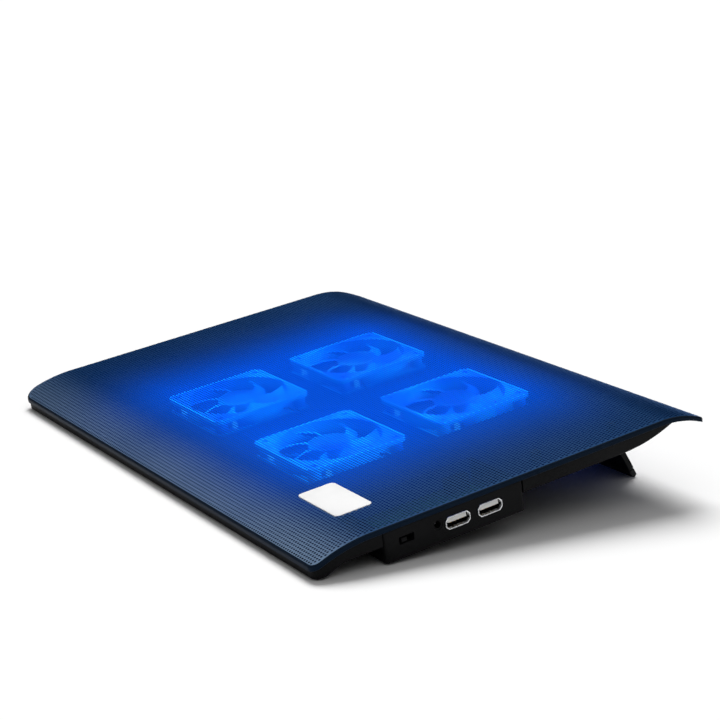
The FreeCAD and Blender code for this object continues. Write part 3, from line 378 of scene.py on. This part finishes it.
def lit_plastic(name, strength):
    """Clear blue plastic that carries the lamps' light: bright along its square's edges, dim at the hub."""
    material, tree, shader = new_material(name)
    place = tree.add("TexCoord")["Object"]
    across, along_deck, radial, height = from_fan(tree, place)
    clouds = tree.noise(place, 34.0, 2, 0.45)
    fine = tree.noise(place, 500.0, 3)
    bright = tree.ramp(clouds, 0.36, 0.66)
    rim = tree.ramp(tree.math("MAXIMUM", across, along_deck), *FRAME_RIM)
    bright = tree.math("MAXIMUM", bright, tree.math("MULTIPLY", rim, 0.9))
    hub = tree.ramp(radial, *ROTOR_HUB, 0.45, 1.0)
    low_down = tree.ramp(height, *FAN_LIT, 0.02, 1.0)
    shader.inputs["Roughness"].default_value = 0.22
    tree.link(tree.blend(bright, (0.004, 0.10, 0.62), (0.010, 0.22, 0.86)), shader, "Base Color")
    tree.link(tree.bump(fine, 0.1, 0.0002), shader, "Normal")
    tree.link(tree.blend(bright, (0.001, 0.100, 0.92), (0.002, 0.250, 1.0)), shader, "Emission Color")
    power = tree.mix(bright, strength * 0.85, strength * 1.20)
    power = tree.math("MULTIPLY", tree.math("MULTIPLY", power, hub), low_down)
    # Painted light: the glow fades from faces that look up to none on faces that look down.
    facing = tree.add("SeparateXYZ", Vector=tree.add("TexCoord")["Normal"])["Z"]
    power = tree.math("MULTIPLY", power, tree.ramp(facing, -0.3, 0.3, 0.0, 1.0))
    tree.link(power, shader, "Emission Strength")
    return material


def metal(name, low, high, roughness, brushed=(1, 1, 1), shaded_below=None):
    """Metal with a directional grain: brushed stretches the noise along the axis with the small number.

    Painted shade makes it dark where x is below the last argument, as deep inside a socket."""
    material, tree, shader = new_material(name)
    place = tree.add("TexCoord")["Object"]
    grain = tree.noise(tree.vector("MULTIPLY", place, brushed), 600.0, 4)
    colour = tree.blend(grain, low, high)
    # Painted shade: the steel turns near-black deep inside a socket's shell.
    if shaded_below:
        x = tree.add("SeparateXYZ", Vector=place)["X"]
        at_mouth = tree.ramp(x, shaded_below - SOCKET_FADE, shaded_below + SOCKET_FADE)
        colour = tree.blend(at_mouth, (0.02, 0.02, 0.02), colour)
    tree.link(colour, shader, "Base Color")
    shader.inputs["Metallic"].default_value = 1.0
    tree.link(tree.ramp(grain, 0.3, 0.7, roughness - 0.06, roughness + 0.06), shader, "Roughness")
    tree.link(tree.bump(grain, 0.08, 0.0001), shader, "Normal")
    return material


def plain_plastic(name, low, high, roughness, scale=200.0, bump=0.05, specular=0.5):
    """Plastic, rubber or lacquer with a faint mottle."""
    material, tree, shader = new_material(name)
    place = tree.add("TexCoord")["Object"]
    mottle = tree.noise(place, scale, 4)
    tree.link(tree.blend(mottle, low, high), shader, "Base Color")
    tree.link(tree.ramp(mottle, 0.3, 0.7, roughness - 0.05, roughness + 0.05), shader, "Roughness")
    tree.link(tree.bump(mottle, bump, 0.0002), shader, "Normal")
    shader.inputs["Specular IOR Level"].default_value = specular
    return material


def lamp_light(name):
    """The lamps' own clear lens, lit from inside."""
    material, tree, shader = new_material(name)
    place = tree.add("TexCoord")["Object"]
    mottle = tree.noise(place, 300.0, 2)
    tree.link(tree.blend(mottle, (0.10, 0.40, 0.95), (0.20, 0.55, 1.0)), shader, "Base Color")
    shader.inputs["Roughness"].default_value = 0.15
    tree.link(tree.blend(mottle, (0.01, 0.30, 1.0), (0.03, 0.42, 1.0)), shader, "Emission Color")
    shader.inputs["Emission Strength"].default_value = 1.5
    return material


def make_materials():
    """One material for each slot of the record."""
    socket = metal("port_steel", (0.60, 0.61, 0.63), (0.78, 0.79, 0.81), 0.28, (0.05, 1, 1), SOCKET_MOUTH)
    rubber = plain_plastic("rubber", (0.010, 0.010, 0.011), (0.022, 0.022, 0.024), 0.75, 500.0, 0.2, 0.25)
    return {
        "deck_paint": coat_of_paint("deck_paint", DECK_GLOW, (0.078, 0.155, 0.320), (0.104, 0.200, 0.390)),
        "badge": plain_plastic("badge", (0.94, 0.94, 0.94), (0.97, 0.97, 0.97), 0.35, 120.0, 0.03),
        "black_plastic": black_plastic("black_plastic"),
        "clear_blue": lit_plastic("clear_blue", FAN_GLOW),
        "port_steel": socket,
        "white_plastic": plain_plastic("white_plastic", (0.78, 0.78, 0.76), (0.88, 0.88, 0.86), 0.40),
        "contact": metal("contact", (0.72, 0.45, 0.14), (0.90, 0.62, 0.24), 0.30, (0.1, 1, 1)),
        "steel": metal("steel", (0.46, 0.47, 0.49), (0.62, 0.63, 0.65), 0.30, (0.1, 1, 1)),
        "zinc": metal("zinc", (0.10, 0.10, 0.11), (0.20, 0.20, 0.22), 0.42),
        "bronze": metal("bronze", (0.42, 0.25, 0.12), (0.58, 0.38, 0.18), 0.45),
        "magnet": plain_plastic("magnet", (0.030, 0.028, 0.026), (0.060, 0.055, 0.050), 0.60),
        "coil": metal("coil", (0.38, 0.13, 0.05), (0.62, 0.26, 0.10), 0.35, (1, 1, 6)),
        "lamp": lamp_light("lamp"),
        "circuit": plain_plastic("circuit", (0.010, 0.090, 0.040), (0.020, 0.140, 0.070), 0.35, 90.0),
        "lead": plain_plastic("lead", (0.012, 0.012, 0.014), (0.030, 0.030, 0.034), 0.50),
        "rubber": rubber,
    }


def dress_nodes(materials):
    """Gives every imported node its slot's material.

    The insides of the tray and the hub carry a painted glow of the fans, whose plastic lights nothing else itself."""
    tray = black_plastic("black_plastic_tray_painted_glow", TRAY_ROOMS)
    hub = black_plastic("black_plastic_hub_painted_glow", HUB_ROOMS)
    special = {"base_shell": tray, "fan_leads": tray, "hub_housing": hub}
    for entry in frame["record"]["subparts"]:
        node = frame["nodes"][entry["node"]]
        node.data.materials.clear()
        node.data.materials.append(special.get(entry["node"], materials[entry["material_slot"]]))
        if entry["material_slot"] in ("clear_blue", "lamp"):
            node.visible_diffuse = False


# ---------------------------------------------------------------- perforated deck

MM = 0.001

# The sheet's outline and bent lips, in millimetres. A lip is an arc from its start to the sheet's edge.
HALF_WIDTH = 170.0
PLATE_FRONT = -3.0
PLATE_BACK = 233.0
LIP_FRONT = 30.0
LIP_FRONT_RADIUS = 86.0
LIP_BACK = 205.0
LIP_BACK_RADIUS = 60.0
CORNER_FRONT = 10.0
CORNER_BACK = 14.0
HUB_CORNER_FRONT = 5.0
HUB_CORNER_BACK = 2.5
CORNER_STEPS = 16

# The holes and the plain edge round them.
HOLE_STEP = 1.90
ROW_STEP = 1.85
HOLE_RADIUS = 0.70
HOLE_SIDES = 8
PLAIN_EDGE = 1.9

# The rolled edge: the sheet's thickness, the hem's, the roll's radius, the flange's depth, the softening of
# its corners, and how far in from the outline the first ring of points lies.
SHEET = 0.25
HEM = 0.70
BEND = 0.80
BEND_STEPS = 4
FLANGE = 2.60
SOFT = 0.15
RING_INSET = 1.1

STRIPS = 5

# Material slots of a strip, and the two halves of its flat map. EDGE is the slot of the rolled edge and the
# underside, which take a painted-shade copy of the paint.
TOP, WALL, EDGE = 0, 1, 2
LOWER_HALF, UPPER_HALF = 0, 1


def drop_at(y):
    """How far the lips fall below the deck's flat top, at y."""
    y = np.asarray(y, float)
    front = LIP_FRONT_RADIUS - np.sqrt(LIP_FRONT_RADIUS ** 2 - np.minimum(y - LIP_FRONT, 0) ** 2)
    back = LIP_BACK_RADIUS - np.sqrt(LIP_BACK_RADIUS ** 2 - np.maximum(y - LIP_BACK, 0) ** 2)
    return front + back


def unrolled(y):
    """Length along the bent sheet at y."""
    y = np.asarray(y, float)
    front = LIP_FRONT_RADIUS * np.arcsin(np.minimum(y - LIP_FRONT, 0) / LIP_FRONT_RADIUS)
    back = LIP_BACK_RADIUS * np.arcsin(np.maximum(y - LIP_BACK, 0) / LIP_BACK_RADIUS)
    return np.clip(y, LIP_FRONT, LIP_BACK) + front + back


def rolled(length):
    """The y of a length along the bent sheet."""
    length = np.asarray(length, float)
    front = LIP_FRONT_RADIUS * np.sin(np.minimum(length - LIP_FRONT, 0) / LIP_FRONT_RADIUS)
    back = LIP_BACK_RADIUS * np.sin(np.maximum(length - LIP_BACK, 0) / LIP_BACK_RADIUS)
    return np.clip(length, LIP_FRONT, LIP_BACK) + front + back


def inside_by(x, y):
    """Distance from the deck's outline, positive inside it."""
    x = np.asarray(x, float)
    y = np.asarray(y, float)
    ahead = y < (PLATE_FRONT + PLATE_BACK) / 2
    corner = np.where(ahead, np.where(x > 0, HUB_CORNER_FRONT, CORNER_FRONT),
                      np.where(x > 0, HUB_CORNER_BACK, CORNER_BACK))
    side = HALF_WIDTH - np.abs(x)
    end = np.where(ahead, y - PLATE_FRONT, PLATE_BACK - y)
    in_corner = (side < corner) & (end < corner)
    return np.where(in_corner, corner - np.hypot(corner - side, corner - end), np.minimum(side, end))


def outline_points():
    """Points round the deck's outline, counterclockwise, with their outward directions."""
    points = []
    normals = []
    half, front, back = HALF_WIDTH, PLATE_FRONT, PLATE_BACK
    corners = [
        (-half + CORNER_FRONT, front + CORNER_FRONT, CORNER_FRONT, -180),
        (half - HUB_CORNER_FRONT, front + HUB_CORNER_FRONT, HUB_CORNER_FRONT, -90),
        (half - HUB_CORNER_BACK, back - HUB_CORNER_BACK, HUB_CORNER_BACK, 0),
        (-half + CORNER_BACK, back - CORNER_BACK, CORNER_BACK, 90),
    ]
    following = corners[1:] + corners[:1]
    for (x, y, radius, turn), (next_x, next_y, next_radius, next_turn) in zip(corners, following):
        for step in range(CORNER_STEPS + 1):
            angle = math.radians(turn + 90 * step / CORNER_STEPS)
            points.append((x + radius * math.cos(angle), y + radius * math.sin(angle)))
            normals.append((math.cos(angle), math.sin(angle)))
        angle = math.radians(next_turn)
        end = (next_x + next_radius * math.cos(angle), next_y + next_radius * math.sin(angle))
        start = points[-1]
        count = int(math.dist(start, end) / ROW_STEP)
        for step in range(1, count):
            share = step / count
            points.append(tuple(a + (b - a) * share for a, b in zip(start, end)))
            normals.append(normals[-1])
    return np.array(points), np.array(normals)


def hole_grid():
    """The holes' centres on the unrolled sheet, by row and column, as far as the plain edge."""
    centres = {}
    start = float(unrolled(FAN_MIDDLE / MM))
    first = int(math.floor((unrolled(PLATE_FRONT) - start) / ROW_STEP))
    last = int(math.ceil((unrolled(PLATE_BACK) - start) / ROW_STEP))
    reach = int(HALF_WIDTH / HOLE_STEP) + 1
    for row in range(first, last + 1):
        length = start + row * ROW_STEP
        y = float(rolled(length))
        if not PLATE_FRONT < y < PLATE_BACK:
            continue
        for column in range(-reach, reach + 1):
            x = (column + 0.5 * (row % 2)) * HOLE_STEP
            if inside_by(x, y) > PLAIN_EDGE:
                centres[row, column] = (x, length)
    return centres


def sheet_pattern():
    """The metal between the holes, laid flat: its points, its faces and each hole's first point.

    A hole's points run anticlockwise from its right. The faces join a hole to its neighbours in its own row
    and the rows above and below, which are shifted by half a step."""
    grid = hole_grid()
    angles = [(k + 0.5) * 2 * math.pi / HOLE_SIDES for k in range(HOLE_SIDES)]
    ring = [(HOLE_RADIUS * math.cos(angle), HOLE_RADIUS * math.sin(angle)) for angle in angles]
    start = {key: index * HOLE_SIDES for index, key in enumerate(grid)}
    points = np.array([(x + dx, y + dy) for x, y in grid.values() for dx, dy in ring])
    quads = []
    for (row, column), base in start.items():
        shift = row % 2
        right = start.get((row, column + 1))
        above_right = start.get((row + 1, column + shift))
        above_left = start.get((row + 1, column + shift - 1))
        below_right = start.get((row - 1, column + shift))
        if right is not None:
            quads.append((base + 7, right + 4, right + 3, base))
        if above_right is not None:
            quads.append((base, above_right + 5, above_right + 4, base + 1))
        if above_left is not None:
            quads.append((base + 3, base + 2, above_left + 7, above_left + 6))
        if right is not None and above_right is not None:
            quads.append((base, right + 3, above_right + 6, above_right + 5))
        if right is not None and below_right is not None:
            quads.append((base + 7, below_right + 2, below_right + 1, right + 4))
    return points, quads, start


def outer_edges(quads, start):
    """Edges of the pattern that face the plain border."""
    count = {}
    for quad in quads:
        for a, b in zip(quad, quad[1:] + quad[:1]):
            key = (min(a, b), max(a, b))
            count[key] = count.get(key, 0) + 1
    hole_edges = set()
    for base in start.values():
        for side in range(HOLE_SIDES):
            a, b = base + side, base + (side + 1) % HOLE_SIDES
            hole_edges.add((min(a, b), max(a, b)))
    open_edges = {key for key, uses in count.items() if uses == 1 and key not in hole_edges}
    return open_edges | {key for key in hole_edges if key not in count}


def enclosed(points, edges, places):
    """Even-odd test of places against a set of edges between points."""
    first = points[[a for a, _ in edges]]
    second = points[[b for _, b in edges]]
    crossed = np.zeros(len(places), int)
    for (x0, y0), (x1, y1) in zip(first, second):
        spans = (y0 > places[:, 1]) != (y1 > places[:, 1])
        where = x0 + (places[:, 1] - y0) / (y1 - y0 if y1 != y0 else 1) * (x1 - x0)
        crossed += spans & (places[:, 0] < where)
    return crossed % 2 == 1


def border_faces(points, edges, ring):
    """Triangles between the pattern's outer edge and the ring of points round it.

    A point of the ring has a negative number, from -1 down."""
    used = sorted({index for edge in edges for index in edge})
    place = {index: k for k, index in enumerate(used)}
    many = len(used)
    coordinates = [Vector(points[index]) for index in used] + [Vector(p) for p in ring]
    constraints = [(place[a], place[b]) for a, b in edges]
    constraints += [(many + k, many + (k + 1) % len(ring)) for k in range(len(ring))]
    inside_only, closeness, with_sources = 1, 1e-7, True
    found = delaunay_2d_cdt(coordinates, constraints, [], inside_only, closeness, with_sources)
    faces, point_sources = found[2], found[3]
    sources = [kept[0] for kept in point_sources]
    triangles = np.array([[sources[v] for v in face] for face in faces])
    all_points = np.array([tuple(c) for c in coordinates])
    middles = all_points[triangles].mean(1)
    local = [(place[a], place[b]) for a, b in edges]
    triangles = triangles[~enclosed(all_points[:many], local, middles)]
    sides = all_points[triangles]
    area = np.cross(sides[:, 1] - sides[:, 0], sides[:, 2] - sides[:, 0])
    triangles = np.where((area < 0)[:, None], triangles[:, ::-1], triangles)
    lookup = np.array(used + [-1 - k for k in range(len(ring))])
    return lookup[triangles]


def edge_profile():
    """The rolled edge's section: each point's distance in from the outline, drop and length so far."""
    section = [(RING_INSET, 0.0)]
    for step in range(BEND_STEPS + 1):
        angle = math.pi / 2 * step / BEND_STEPS
        section.append((BEND - BEND * math.sin(angle), BEND - BEND * math.cos(angle)))
    section += [(0.0, FLANGE - SOFT), (SOFT, FLANGE), (HEM - SOFT, FLANGE), (HEM, FLANGE - SOFT)]
    section += [(HEM, SHEET), (RING_INSET, SHEET)]
    lengths = [0.0]
    for before, after in zip(section, section[1:]):
        lengths.append(lengths[-1] + math.dist(before, after))
    return [(inset, drop, length) for (inset, drop), length in zip(section, lengths)]


def cover_points(points, outline, outward):
    """Every point of the sheet in deck coordinates, and its place on the flat map.

    First come the holes' points on the top, then the same on the underside, then a ring for each step of the
    edge's section."""
    bent = np.column_stack([points[:, 0], rolled(points[:, 1])])
    drop = drop_at(bent[:, 1])
    places = [np.column_stack([bent, -drop]), np.column_stack([bent, -drop - SHEET])]
    flat = [points, points]
    first_ring = outline - outward * RING_INSET
    first_ring = np.column_stack([first_ring[:, 0], unrolled(first_ring[:, 1])])
    for inset, below, length in edge_profile():
        ring = outline - outward * inset
        places.append(np.column_stack([ring, -drop_at(ring[:, 1]) - below]))
        flat.append(first_ring + outward * length)
    return np.concatenate(places), np.concatenate(flat)


def wall_faces(bases, holes):
    """The walls of the holes, from the top's points to the underside's."""
    walls = []
    for side in range(HOLE_SIDES):
        a, b = bases + side, bases + (side + 1) % HOLE_SIDES
        walls.append(np.column_stack([b, a, a + holes, b + holes]))
    return np.concatenate(walls)


def rim_faces(rim, around, steps):
    """The faces of the rolled edge, ring by ring."""
    here = np.arange(around)
    beside = (here + 1) % around
    rims = []
    for step in range(steps):
        first = rim + step * around
        second = first + around
        rims.append(np.column_stack([first + here, second + here, second + beside, first + beside]))
    return np.concatenate(rims)


def make_cover(paint):
    """The whole bent, perforated sheet, cut into strips so that no one mesh is too heavy."""
    # Painted shade and painted light: the holes' walls get a darker copy of the paint, carrying the fans' glow as
    # emission.
    wall_paint_painted_glow = coat_of_paint(
        "deck_paint_painted_glow", HOLE_WALL_GLOW, (0.030, 0.065, 0.150), (0.045, 0.090, 0.190), 0.3)
    # Painted shade: the rolled edge and the underside get a near-black copy of the paint with little shine.
    shaded_edge_paint = coat_of_paint(
        "deck_paint_shaded_edge", 0.0, (0.004, 0.008, 0.016), (0.006, 0.012, 0.024), 0.0, 0.05)
    points, quads, start = sheet_pattern()
    outline, outward = outline_points()
    ring = outline - outward * RING_INSET
    ring = np.column_stack([ring[:, 0], unrolled(ring[:, 1])])
    border = border_faces(points, outer_edges(quads, start), ring)
    places, flat = cover_points(points, outline, outward)

    holes = len(points)
    around = len(outline)
    rim = 2 * holes
    steps = len(edge_profile()) - 1
    last_ring = rim + steps * around
    bases = np.array(list(start.values()))
    top = np.array(quads)
    top_border = np.where(border >= 0, border, rim - 1 - border)
    under = top[:, ::-1] + holes
    under_border = np.where(border >= 0, border + holes, last_ring - 1 - border)[:, ::-1]

    # On the flat map, the underside's border ends at the ring as the top's does, and a hole's walls fill it.
    flat_under = flat.copy()
    flat_under[last_ring:] = flat[rim:rim + around]
    centres = np.repeat(np.array([points[b:b + HOLE_SIDES].mean(0) for b in bases]), HOLE_SIDES, axis=0)
    order = np.concatenate([np.arange(b, b + HOLE_SIDES) for b in bases])
    flat_wall = flat.copy()
    flat_wall[order + holes] = centres + (points[order] - centres) * 0.5

    kinds = [
        (top, flat, LOWER_HALF, TOP),
        (top_border, flat, LOWER_HALF, TOP),
        (under, flat_under, UPPER_HALF, EDGE),
        (under_border, flat_under, UPPER_HALF, EDGE),
        (wall_faces(bases, holes), flat_wall, LOWER_HALF, WALL),
        (rim_faces(rim, around, steps), flat, LOWER_HALF, EDGE),
    ]
    world = np.array([tuple(DECK @ Vector(p * MM)) for p in places])
    cuts = np.linspace(float(unrolled(PLATE_FRONT)), float(unrolled(PLATE_BACK)), STRIPS + 1)
    cuts[0], cuts[-1] = -math.inf, math.inf
    lengths = unrolled(places[:, 1])
    for strip in range(STRIPS):
        chosen = []
        for faces, uv, half, slot in kinds:
            middles = lengths[faces].mean(1)
            keep = faces[(middles >= cuts[strip]) & (middles < cuts[strip + 1])]
            if len(keep):
                chosen.append((keep, uv, half, slot))
        add_strip(f"mesh_cover_{strip + 1}", world, chosen, (paint, wall_paint_painted_glow, shaded_edge_paint))


def add_strip(name, world, chosen, materials):
    """One mesh from several sets of faces, with a flat map of its own.

    A set is its faces, their places on the flat map, the half of the map and the material slot."""
    used = np.unique(np.concatenate([faces.ravel() for faces, *_ in chosen]))
    renumber = np.full(len(world), -1)
    renumber[used] = np.arange(len(used))
    corners = np.concatenate([renumber[faces].ravel() for faces, *_ in chosen])
    sizes = np.concatenate([np.full(len(faces), faces.shape[1]) for faces, *_ in chosen])
    slots = np.concatenate([np.full(len(faces), slot) for faces, _, _, slot in chosen])
    maps = []
    reach = np.concatenate([uv[faces.ravel()] for faces, uv, half, _ in chosen if half == LOWER_HALF])
    low, high = reach.min(0) - 1, reach.max(0) + 1
    for faces, uv, half, _ in chosen:
        here = (uv[faces.ravel()] - low) / (high - low)
        here[:, 1] = here[:, 1] / 2 + half / 2
        maps.append(here)
    mesh = bpy.data.meshes.new(name)
    mesh.vertices.add(len(used))
    mesh.vertices.foreach_set("co", world[used].astype(np.float32).ravel())
    mesh.loops.add(len(corners))
    mesh.loops.foreach_set("vertex_index", corners.astype(np.int32))
    mesh.polygons.add(len(sizes))
    mesh.polygons.foreach_set("loop_start", np.concatenate([[0], np.cumsum(sizes)[:-1]]).astype(np.int32))
    mesh.polygons.foreach_set("loop_total", sizes.astype(np.int32))
    mesh.polygons.foreach_set("material_index", slots.astype(np.int32))
    mesh.update(calc_edges=True)
    mesh.uv_layers.new(name="OFBake").data.foreach_set("uv", np.concatenate(maps).astype(np.float32).ravel())
    mesh.validate()
    for material in materials:
        mesh.materials.append(material)
    piece = bpy.data.objects.new(name, mesh)
    bpy.context.scene.collection.objects.link(piece)
    smooth_by_angle(mesh, 30)
    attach(piece, "deck")
    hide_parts("mesh_cover")


def smooth_by_angle(mesh, degrees):
    """Smooth shading, with edges sharper than the angle kept sharp."""
    mesh.polygons.foreach_set("use_smooth", np.ones(len(mesh.polygons), bool))
    mesh.set_sharp_from_angle(angle=math.radians(degrees))


# ---------------------------------------------------------------- badge

# In millimetres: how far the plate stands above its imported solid, its corners' radius and how deep it goes.
BADGE_PROUD = 0.3
BADGE_CORNER = 2.6
BADGE_CORNER_STEPS = 8
BADGE_BOTTOM = -0.9


def make_badge(material):
    """A blank rounded plate with a bevelled edge, standing where its CAD node does."""
    verts = [DECK.inverted() @ v.co for v in frame["nodes"]["badge_plate"].data.vertices]
    x0, x1 = min(v.x for v in verts) / MM, max(v.x for v in verts) / MM
    y0, y1 = min(v.y for v in verts) / MM, max(v.y for v in verts) / MM
    top = max(v.z for v in verts) / MM + BADGE_PROUD
    section = [(0.0, BADGE_BOTTOM), (0.0, top - 0.25), (0.08, top - 0.08), (0.25, top)]
    rings = []
    for inset, height in section:
        ring = []
        for cx, cy, turn in ((x1, y0, -90), (x1, y1, 0), (x0, y1, 90), (x0, y0, 180)):
            mx = cx + (BADGE_CORNER if cx == x0 else -BADGE_CORNER)
            my = cy + (BADGE_CORNER if cy == y0 else -BADGE_CORNER)
            reach = BADGE_CORNER - inset
            for step in range(BADGE_CORNER_STEPS + 1):
                angle = math.radians(turn + 90 * step / BADGE_CORNER_STEPS)
                px, py = mx + reach * math.cos(angle), my + reach * math.sin(angle)
                ring.append((px, py, height - float(drop_at(py))))
        rings.append(ring)
    vertices = [DECK @ (Vector(p) * MM) for ring in rings for p in ring]
    count = len(rings[0])
    faces = []
    for level in range(len(rings) - 1):
        for k in range(count):
            a = level * count + k
            b = level * count + (k + 1) % count
            faces.append((a, b, b + count, a + count))
    faces.append(tuple(range((len(rings) - 1) * count, len(rings) * count)))
    faces.append(tuple(range(count))[::-1])
    mesh = bpy.data.meshes.new("badge")
    mesh.from_pydata(vertices, [], faces)
    mesh.materials.append(material)
    piece = bpy.data.objects.new("badge", mesh)
    bpy.context.scene.collection.objects.link(piece)
    smooth_by_angle(mesh, 40)
    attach(piece, "deck")
    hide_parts("badge_plate")


# ---------------------------------------------------------------- make it

def main():
    bpy.context.scene.view_settings.view_transform = "Standard"
    add_camera()
    add_world()
    add_sun("key", SUN_TOWARDS, SUN_STRENGTH, SUN_SPREAD)
    add_floor()
    materials = make_materials()
    dress_nodes(materials)
    make_cover(materials["deck_paint"])
    make_badge(materials["badge"])


main()
